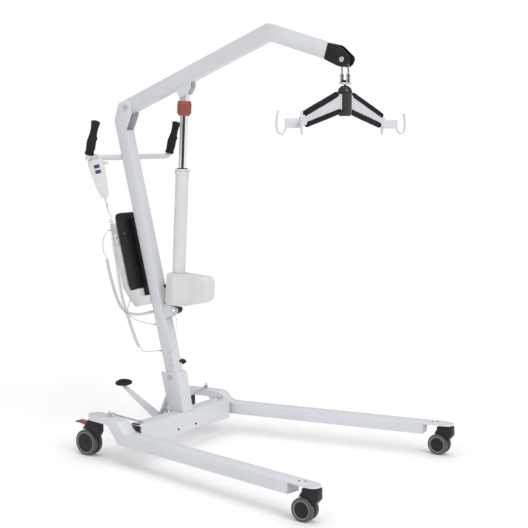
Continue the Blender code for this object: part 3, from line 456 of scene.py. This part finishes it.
def smooth_line(points, spacing):
    """Points every so far along a Catmull-Rom curve through the given ones."""
    points = [Vector(p) + SHIFT for p in points]
    ends = [2 * points[0] - points[1], *points, 2 * points[-1] - points[-2]]
    dense = []
    for a, b, c, d in zip(ends, ends[1:], ends[2:], ends[3:]):
        for k in range(60):
            t = k / 60
            dense.append(0.5 * (2 * b + (c - a) * t + (2 * a - 5 * b + 4 * c - d) * t * t
                                + (3 * b - a - 3 * c + d) * t ** 3))
    dense.append(points[-1])
    line = np.array([tuple(p) for p in dense])
    along = np.concatenate([[0], np.cumsum(np.linalg.norm(np.diff(line, axis=0), axis=1))])
    steps = max(2, round(along[-1] / spacing))
    wanted = np.linspace(0, along[-1], steps + 1)
    return np.stack([np.interp(wanted, along, line[:, i]) for i in range(3)], axis=1)


def curly(lead, coil, tail):
    """The wire of a curly lead: straight, then wound round the coil's middle, then straight again.
    It moves out to the coil's radius before it starts to turn, so no bend is tighter than a turn."""
    line = smooth_line([*lead[:-1], *coil, *tail[1:]], COIL_PITCH / TURN_STEPS)
    middle, _, first, second = frames_along(line)
    along = np.concatenate([[0], np.cumsum(np.linalg.norm(np.diff(middle, axis=0), axis=1))])
    starts, ends = (along[np.argmin(np.linalg.norm(middle - np.array(Vector(p) + SHIFT), axis=1))]
                    for p in (coil[0], coil[-1]))
    inside = np.minimum(along - starts, ends - along)
    out = np.clip(1 + inside / RUN_IN, 0, 1)
    radius = COIL_TURN * out * out * (3 - 2 * out)
    speed = 2 * math.pi / COIL_PITCH * np.clip(inside / RUN_IN, 0, 1)
    angle = np.concatenate([[0], np.cumsum(speed[1:] * np.diff(along))])
    return middle + radius[:, None] * (np.cos(angle)[:, None] * first + np.sin(angle)[:, None] * second)


def add_cord(name, points, diameter, material):
    curve = bpy.data.curves.new(name, "CURVE")
    curve.dimensions = "3D"
    curve.bevel_depth = diameter / 2
    curve.bevel_resolution = 3
    curve.use_fill_caps = True
    spline = curve.splines.new("POLY")
    spline.points.add(len(points) - 1)
    spline.points.foreach_set("co", np.hstack([points, np.ones((len(points), 1))]).ravel())
    curve.materials.append(material)
    obj = bpy.data.objects.new(name, curve)
    scene.collection.objects.link(obj)
    spline.use_smooth = True
    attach(obj, "frame")
    return obj


HANDSET_LEAD = [(-0.2371, -0.1716, 0.9662), (-0.2386, -0.1670, 0.9540), (-0.2420, -0.1580, 0.9400),
                (-0.2448, -0.1475, 0.9250), (-0.2449, -0.1410, 0.9112)]
HANDSET_COIL = [(-0.2448, -0.140, 0.9100), (-0.2436, -0.128, 0.8080), (-0.2382, -0.118, 0.7353),
                (-0.2262, -0.107, 0.6136), (-0.2140, -0.098, 0.5522), (-0.1965, -0.090, 0.4914),
                (-0.1739, -0.082, 0.4244), (-0.1580, -0.074, 0.3900)]
HANDSET_TAIL = [(-0.1560, -0.0730, 0.3860), (-0.1490, -0.0690, 0.3810), (-0.1370, -0.0560, 0.3795),
                (-0.1260, -0.0380, 0.3790), (-0.1150, -0.0200, 0.3785), (-0.1040, -0.0080, 0.3780),
                (-0.0952, -0.0040, 0.3775)]
MOTOR_LEAD = [(-0.2960, -0.0692, 0.8530), (-0.2985, -0.0760, 0.8555), (-0.3050, -0.0870, 0.8530),
              (-0.3160, -0.0960, 0.8370), (-0.3230, -0.1000, 0.8120), (-0.3240, -0.1010, 0.7860),
              (-0.3190, -0.1015, 0.7660), (-0.3095, -0.1010, 0.7535)]
MOTOR_COIL = [(-0.3070, -0.1008, 0.7500), (-0.2945, -0.0980, 0.6926), (-0.2780, -0.0930, 0.6289),
              (-0.2620, -0.0880, 0.5800), (-0.2440, -0.0780, 0.5420), (-0.2230, -0.0600, 0.5230),
              (-0.1992, -0.0300, 0.5170), (-0.1750, 0.0050, 0.5230), (-0.1500, 0.0330, 0.5330),
              (-0.1200, 0.0480, 0.5420), (-0.0900, 0.0480, 0.5480), (-0.0620, 0.0380, 0.5520)]
CHARGER_LEAD = [(-0.2340, -0.0300, 0.5830), (-0.2430, -0.0360, 0.5660), (-0.2480, -0.0420, 0.5450),
                (-0.2430, -0.0480, 0.5260), (-0.2300, -0.0490, 0.5110), (-0.2143, -0.0440, 0.5010),
                (-0.1876, -0.0350, 0.4918), (-0.1536, -0.0250, 0.4847), (-0.1230, -0.0150, 0.4823)]
LANYARD = [(-0.0082, -0.0300, 0.5204), (-0.0133, -0.0300, 0.4543), (-0.0107, -0.0300, 0.4174),
           (-0.0275, -0.0280, 0.3967), (-0.0567, -0.0265, 0.3722)]


def relief(name, line, length, thick, thin, sides=20):
    """A tapered, ribbed strain relief over the start of a lead."""
    along = np.concatenate([[0], np.cumsum(np.linalg.norm(np.diff(line, axis=0), axis=1))])
    wanted = np.linspace(0, length, 34)
    points = np.stack([np.interp(wanted, along, line[:, i]) for i in range(3)], axis=1)
    share = np.linspace(0, 1, 34)
    ribs = np.where((np.arange(34) % 4 < 2) & (share > 0.15) & (share < 0.9), 0.00045, 0.0)
    return swept(name, points, thick + (thin - thick) * share + ribs, "frame", LEAD_GREY, sides)


def add_cords():
    lead, tail = smooth_line(HANDSET_LEAD, 0.0025), smooth_line(HANDSET_TAIL, 0.0025)
    handset = curly(HANDSET_LEAD, HANDSET_COIL, HANDSET_TAIL)
    cord = add_cord("handset_cord", handset, LEAD, LEAD_GREY)
    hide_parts("handset_lead", "handset_coil", "handset_tail")
    at_mast = relief("handset_cord_grommet", tail[::-1], 0.020, 0.0040, 0.0022)
    at_handset = relief("handset_cord_relief", lead, 0.026, 0.0036, 0.0021)

    lead = smooth_line(MOTOR_LEAD, 0.0025)
    motor = curly(MOTOR_LEAD, MOTOR_COIL, [])
    cord = add_cord("motor_cord", motor, LEAD, LEAD_GREY)
    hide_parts("motor_lead", "motor_coil")
    at_box = relief("motor_cord_relief", lead, 0.022, 0.0040, 0.0021)

    lead = smooth_line(CHARGER_LEAD, 0.0030)
    cord = add_cord("charger_cord", lead, LEAD, LEAD_GREY)
    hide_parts("charger_lead")
    at_box = relief("charger_cord_relief", lead, 0.020, 0.0036, 0.0021)
    at_mast = relief("charger_cord_grommet", lead[::-1], 0.014, 0.0036, 0.0022)


add_cords()


# Foam sleeves on the spreader's arms

def foam_sleeve(name):
    """A soft sleeve 3 mm past its solid at each end: crowned, pinched, a little dented, with a glued seam."""
    points = np.array([v.co[:] for v in nodes[name].data.vertices])
    middle = (points.max(0) + points.min(0)) / 2
    _, _, axes = np.linalg.svd(points - points.mean(0), full_matrices=False)
    axis = axes[0]
    half = np.abs((points - middle) @ axis).max() + 0.003
    radius = 0.0104
    steps, rows = 44, 60
    matrix = facing(Vector(middle), Vector(axis))
    bm = bmesh.new()
    made = []
    for i in range(rows + 1):
        t = -1 + 2 * i / rows
        height = half * math.sin(t * math.pi / 2) if abs(t) < 1 else half * t
        end = min(1.0, (half - abs(height)) / 0.006)
        round_end = math.sqrt(max(0.0, 1 - (1 - end) ** 2))
        row = []
        for k in range(steps):
            turn = 2 * math.pi * k / steps
            dent = 0.00022 * math.sin(3 * turn + 40 * height) + 0.00018 * math.sin(5 * turn - 95 * height)
            seam = 0.0007 * math.exp(-((turn - math.pi) / 0.12) ** 2)
            crown = 0.0004 * math.cos(height / half * math.pi / 2)
            r = max(0.0030, (radius - 0.0006 + crown + dent - seam) * (0.35 + 0.65 * round_end))
            row.append(bm.verts.new((r * math.cos(turn), r * math.sin(turn), height)))
        made.append(row)
    skin(bm, made)
    sleeve = piece(name.replace("arm_pad", "foam_sleeve"), bm, "spreader", FOAM, matrix)
    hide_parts(name)


for pad in FINISH[FOAM]:
    foam_sleeve(pad)


# Wheels

def wheel_details(end, side):
    centre, axis = joints[f"wheels_{end}_{side}_roll"]
    radius = WHEEL_RADIUS[end]
    rim = radius - 0.010
    body = f"wheels_{end}_{side}"
    for label, sign in (("left", -1), ("right", 1)):
        matrix = facing(centre + sign * 0.0200 * axis, sign * axis)
        tag = f"{end}_{side}_{label}"
        disc = [(rim - 0.0012, -0.0008), (rim - 0.0012, 0.0010), (rim - 0.004, 0.0016), (0.018, 0.0004),
                (0.0150, 0.0022), (0.0110, 0.0030), (0.0095, 0.0030)]
        lathed(f"wheel_disc_{tag}", disc, matrix, body, BLACK, 48)
        ring(f"wheel_rim_{tag}", rim - 0.0014, rim + 0.0006, 0.0034, matrix, body, RIM, 64)
        bolt_spot = facing(centre + sign * 0.0226 * axis, sign * axis)
        bolt(f"axle_bolt_{tag}", 0.0052, 0.0030, bolt_spot, body, BLACK)
        for lip in (0.0020, 0.0060):
            ring(f"tread_line_{tag}_{round(lip * 1000)}", radius - 0.0015, radius - 0.0002, 0.0009,
                 facing(centre + sign * (0.0225 - lip - 0.0005) * axis, sign * axis), body, TREAD, 64)


for wheel_end in WHEEL_RADIUS:
    for wheel_side in SIDES:
        wheel_details(wheel_end, wheel_side)


# Base, mast and socket

def add_base_details():
    for index, y in enumerate((-0.060, 0.050)):
        spot = facing(place(0.0202, y, 0.088), (1, 0, 0))
        socket_screw(f"beam_screw_{index + 1}", 0.0042, spot, "frame", BLACK)
    for side, sign in SIDES.items():
        low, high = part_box(f"leg_pivot_bolt_{side}")
        middle = (low + high) / 2
        lathed(f"pivot_cap_{side}", [(0.0085, 0), (0.0085, 0.0012), (0.0060, 0.0030), (0.0020, 0.0034)],
               facing(Vector((middle.x, middle.y, high.z)), (0, 0, 1)), "frame", ZINC, 32)
    pad_spot = Matrix.Translation(place(-0.012, -0.2745, 0.1480))
    block("glide_pad", (0.034, 0.010, 0.0040), pad_spot, "frame", BLACK)
    for side in SIDES:
        pad_low, pad_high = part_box(f"pedal_pad_{side}")
        middle = (pad_low + pad_high) / 2
        for index in range(3):
            ring(f"pedal_tread_{side}_{index + 1}", 0.0062 + 0.006 * index, 0.0082 + 0.006 * index, 0.0012,
                 facing(Vector((middle.x, middle.y, pad_high.z - 0.0006)), (0, 0, 1)), "pedals", GRIP)


def add_mast_details():
    across = Matrix.Rotation(math.pi / 2, 4, "Y")
    spot = MAST @ Matrix.Translation((0.0252, 0.0165, 0.4935)) @ across
    buffer = [(0.0068, 0), (0.0068, 0.0070), (0.0056, 0.0090), (0.0020, 0.0098)]
    lathed("rest_buffer", buffer, spot, "frame", GRIP, 28)
    spot = MAST @ Matrix.Translation((0.0252, 0.016, 0.1900)) @ across
    plug = [(0.0060, 0), (0.0060, 0.0020), (0.0045, 0.0032), (0.0015, 0.0034)]
    lathed("hole_plug", plug, spot, "frame", BLACK, 28)
    for name, height in (("upper", 0.2030), ("lower", 0.1820)):
        screw = MAST @ Matrix.Translation((0.012, -0.0305, height)) @ Matrix.Rotation(math.pi / 2, 4, "X")
        socket_screw(f"socket_screw_{name}", 0.0030, screw, "frame")


add_base_details()
add_mast_details()


# Grips

def grip(side):
    """A moulded hand grip: a flange at each end, a swell for the palm and a ridge between the fingers."""
    sign = SIDES[side]
    low, high = place(-0.2590, sign * 0.2418, 1.1560), place(-0.2195, sign * 0.2441, 1.2840)
    matrix = Matrix.Translation(low) @ (high - low).to_track_quat("Z", "X").to_matrix().to_4x4()
    length = (high - low).length
    forward = (matrix.inverted().to_3x3() @ Vector((1, 0, 0))).normalized()
    turned = math.atan2(forward.y, forward.x)
    shares = [0, 0.02, 0.05, 0.09, 0.2, 0.34, 0.46, 0.56, 0.68, 0.8, 0.88, 0.93, 0.965, 0.985, 1.0]
    widths = [0.0165, 0.0182, 0.0182, 0.0160, 0.0166, 0.0172, 0.0162, 0.0148, 0.0136, 0.0142, 0.0158,
              0.0172, 0.0172, 0.0150, 0.0080]
    steps, rows = 40, 90
    bm = bmesh.new()
    made = []
    for i in range(rows + 1):
        share = i / rows
        width = float(np.interp(share, shares, widths))
        ridge = 0.0052 * math.exp(-((share - 0.50) / 0.045) ** 2)
        ridge += 0.0022 * math.exp(-((share - 0.22) / 0.05) ** 2)
        palm = 0.0030 * math.exp(-((share - 0.36) / 0.16) ** 2)
        row = []
        for k in range(steps):
            turn = 2 * math.pi * k / steps
            ahead = math.cos(turn - turned)
            rib = 0.00035 * math.sin(share * 190) if 0.08 < share < 0.9 else 0
            r = width + rib + ridge * max(0.0, ahead) ** 2 + palm * max(0.0, -ahead) ** 2
            row.append(bm.verts.new((r * math.cos(turn), r * math.sin(turn), share * length)))
        made.append(row)
    skin(bm, made)
    shaped = piece(f"hand_grip_{side}", bm, "frame", GRIP, matrix)
    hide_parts(f"grip_{side}")


for grip_side in SIDES:
    grip(grip_side)


# Hanger fitting and lanyard

def hanger_yoke():
    """The plated link: a rod bent over the clevis bolt, two long nuts and the swivel's plate."""
    top = joints["hanger_swing"][0]
    reach = 0.0126
    bend = [Vector((reach * math.cos(a), 0, reach * math.sin(a))) for a in np.linspace(0, math.pi, 25)]
    path = [Vector((reach, 0, -0.0760)), Vector((reach, 0, -0.0400)), Vector((reach, 0, -0.0100)), *bend,
            Vector((-reach, 0, -0.0100)), Vector((-reach, 0, -0.0400)), Vector((-reach, 0, -0.0760))]
    yoke = swept("hanger_yoke", [top + p for p in path], [0.0034] * len(path), "hanger", CHROME)
    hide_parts("hanger_link")
    spot = Matrix.Translation(top + Vector((0, 0, -0.0822)))
    block("hanger_plate", (0.0380, 0.0220, 0.0068), spot, "hanger", CHROME, 0.0012)
    nut = [(0.0050, 0), (0.0072, 0.0012), (0.0072, 0.0125), (0.0062, 0.0135), (0.0062, 0.0155),
           (0.0072, 0.0165), (0.0072, 0.0290), (0.0050, 0.0302)]
    for name, x in (("rear", -reach), ("front", reach)):
        spot = Matrix.Translation(top + Vector((x, 0, -0.0786)))
        lathed(f"hanger_nut_{name}", nut, spot, "hanger", CHROME, 32)


def add_leg_caps():
    for side, sign in SIDES.items():
        spread = Matrix.Rotation(sign * math.radians(10.1), 4, "Z")
        leg = Matrix.Translation(place(-0.010, sign * 0.250, 0)) @ spread
        spot = leg @ Matrix.Translation((0.8530, sign * 0.0715, 0.0995))
        spot = spot @ Matrix.Rotation(math.radians(-8), 4, "Y")
        block(f"leg_cap_{side}", (0.0030, 0.0498, 0.0320), spot, f"leg_{side}", PAINT, 0.0010)
        for index, along in enumerate((0.888, 0.905)):
            screw = leg @ Matrix.Translation((along, sign * 0.0715 + (0.006 if index else -0.006), 0.1252))
            socket_screw(f"caster_screw_{side}_{index + 1}", 0.0030, screw, f"leg_{side}", DARK_LINE)


def add_lanyard():
    line = smooth_line(LANYARD, 0.0030)
    cord = add_cord("pin_lanyard", line, 0.0016, LEAD_GREY)
    knot = lathed("lanyard_crimp", [(0.0010, 0), (0.0018, 0.0006), (0.0018, 0.0060), (0.0010, 0.0066)],
                  facing(Vector(line[0]), (0.05, 0, -1)), "frame", ZINC, 20)


hanger_yoke()
add_leg_caps()
add_lanyard()


# Control box and battery

def add_control_details():
    for name, height in (("upper", 0.7300), ("lower", 0.7020)):
        spot = MAST @ Matrix.Translation((-0.1080, -0.0552, height)) @ Matrix.Rotation(math.pi / 2, 4, "X")
        plug = [(0.0088, 0), (0.0088, 0.0090), (0.0078, 0.0110), (0.0050, 0.0112)]
        lathed(f"socket_{name}", plug, spot, "frame", SHELL, 32)
        collar = spot @ Matrix.Translation((0, 0, 0.0030))
        ring(f"socket_ring_{name}", 0.0070, 0.0092, 0.0030, collar, "frame", LEAD_GREY, 32)
    for index in range(3):
        spot = MAST @ Matrix.Translation((-0.0960 + 0.0135 * index, -0.0583, 0.6600))
        block(f"battery_rib_{index + 1}", (0.0012, 0.0010, 0.270), spot, "battery", GLOSS_BLACK, 0.0003)
    lamp = MAST @ Matrix.Translation((-0.0625, -0.0585, 0.7300)) @ Matrix.Rotation(math.pi / 2, 4, "X")
    lathed("charge_lamp", [(0.0024, 0), (0.0024, 0.0008), (0.0014, 0.0014)], lamp, "battery", RIM, 20)


add_control_details()


# Actuator

def add_actuator_details():
    foot = joints["actuator_tilt"][0]
    axis = joints["actuator_extend"][1].normalized()
    if axis.z < 0:
        axis = -axis
    ring("tube_seam", 0.0283, 0.0288, 0.0016, facing(foot + 0.5440 * axis, axis), "actuator", RIM)
    ring("rod_wiper", 0.0150, 0.0200, 0.0040, facing(foot + 0.5512 * axis, axis), "actuator", BLACK)
    low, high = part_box("release_knob")
    radius = (high.y - low.y) / 2
    for index in range(18):
        turn = 2 * math.pi * index / 18
        spot = facing(foot + 0.7830 * axis, axis) @ Matrix.Rotation(turn, 4, "Z")
        spot = spot @ Matrix.Translation((radius, 0, 0))
        block(f"knob_rib_{index + 1}", (0.0022, 0.0032, 0.0380), spot, "release_knob", RED, 0.0008)


add_actuator_details()


# Stage and lights

def add_stage():
    bm = bmesh.new()
    bmesh.ops.create_grid(bm, x_segments=4, y_segments=4, size=40)
    mesh = bpy.data.meshes.new("floor")
    bm.to_mesh(mesh)
    bm.free()
    mesh.materials.append(STAGE)
    floor = bpy.data.objects.new("floor", mesh)
    scene.collection.objects.link(floor)

    scene.view_settings.view_transform = "Standard"
    light_room()
    suns = (("key", (0.75, -0.30, 0.60), 40, 1.45), ("top", (-0.10, 0.10, 1.0), 60, 0.90),
            ("fill", (-0.15, -0.85, 0.40), 50, 0.35))
    for name, towards, spread, strength in suns:
        data = bpy.data.lights.new(name, "SUN")
        data.energy = strength
        data.angle = math.radians(spread)
        light = bpy.data.objects.new(name, data)
        light.rotation_mode = "QUATERNION"
        light.rotation_quaternion = Vector(towards).to_track_quat("Z", "Y")
        light.location = Vector(towards) * 4
        scene.collection.objects.link(light)


def light_room():
    """A white room, with a dark card that only the plated and glossy parts mirror."""
    world = bpy.data.worlds.new("studio")
    world.use_nodes = True
    tree = world.node_tree
    back = tree.nodes["Background"]
    back.inputs["Color"].default_value = (1.0, 1.0, 1.0, 1)
    seen = tree.nodes.new("ShaderNodeLightPath")
    strength = tree.nodes.new("ShaderNodeMapRange")
    strength.inputs["To Min"].default_value = 0.50
    strength.inputs["To Max"].default_value = 1.0
    tree.links.new(seen.outputs["Is Camera Ray"], strength.inputs["Value"])
    tree.links.new(strength.outputs["Result"], back.inputs["Strength"])
    scene.world = world

    bm = bmesh.new()
    bmesh.ops.create_grid(bm, x_segments=2, y_segments=2, size=0.5)
    bmesh.ops.scale(bm, vec=(9.0, 3.2, 1.0), verts=bm.verts)
    mesh = bpy.data.meshes.new("dark_card")
    bm.transform(facing(Vector((3.1, -3.9, 1.6)), (-0.62, 0.78, 0)))
    bm.to_mesh(mesh)
    bm.free()
    mesh.materials.append(DARK_LINE)
    card = bpy.data.objects.new("dark_card", mesh)
    card.visible_camera = False
    card.visible_diffuse = False
    card.visible_shadow = False
    scene.collection.objects.link(card)


add_stage()
